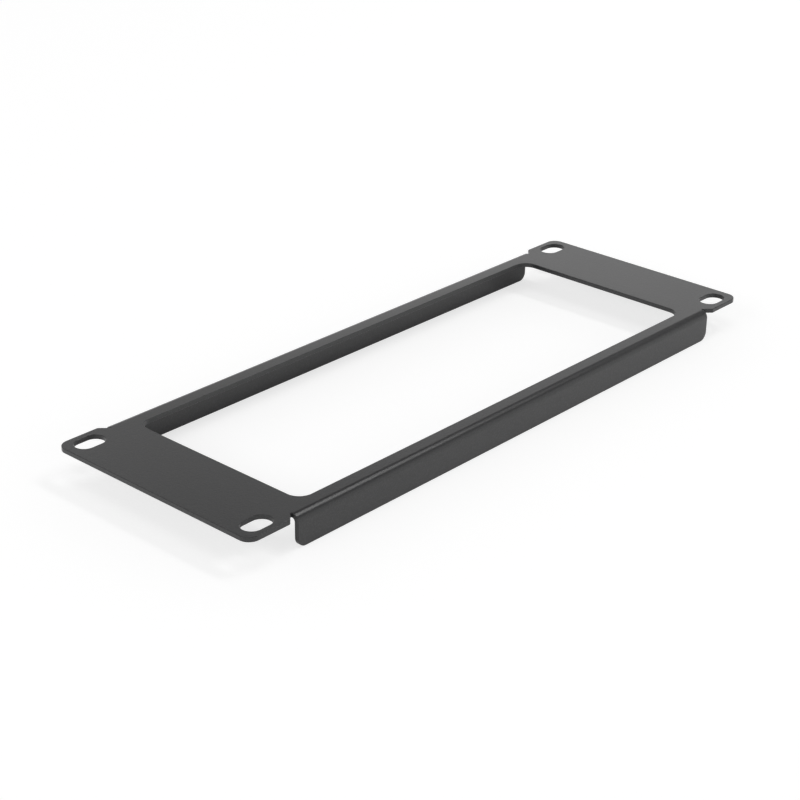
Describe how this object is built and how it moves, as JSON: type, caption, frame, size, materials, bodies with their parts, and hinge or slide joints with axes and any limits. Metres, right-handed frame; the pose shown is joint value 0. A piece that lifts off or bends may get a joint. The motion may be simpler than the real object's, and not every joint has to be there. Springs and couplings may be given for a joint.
{
  "type": "rack panel frame",
  "caption": "Open rack panel folded from one sheet of black powder-coated steel: a large rounded cut-out, two short return flanges and slotted ears for rack screws.",
  "frame": {"origin": "middle of the four-slot mounting pattern, on the rear face of the ears, which seats on the rack rails", "axes": "+X along the long side, +Y up the rack when the panel is mounted, +Z out of the front face; the flanges fold back towards -Z"},
  "size_m": [0.254, 0.0882, 0.0112],
  "materials": {
    "powder_coat": "matt black powder coat with a fine even texture"
  },
  "bodies": {
    "root": {"panel_frame": "powder_coat"}
  },
  "joints": []
}
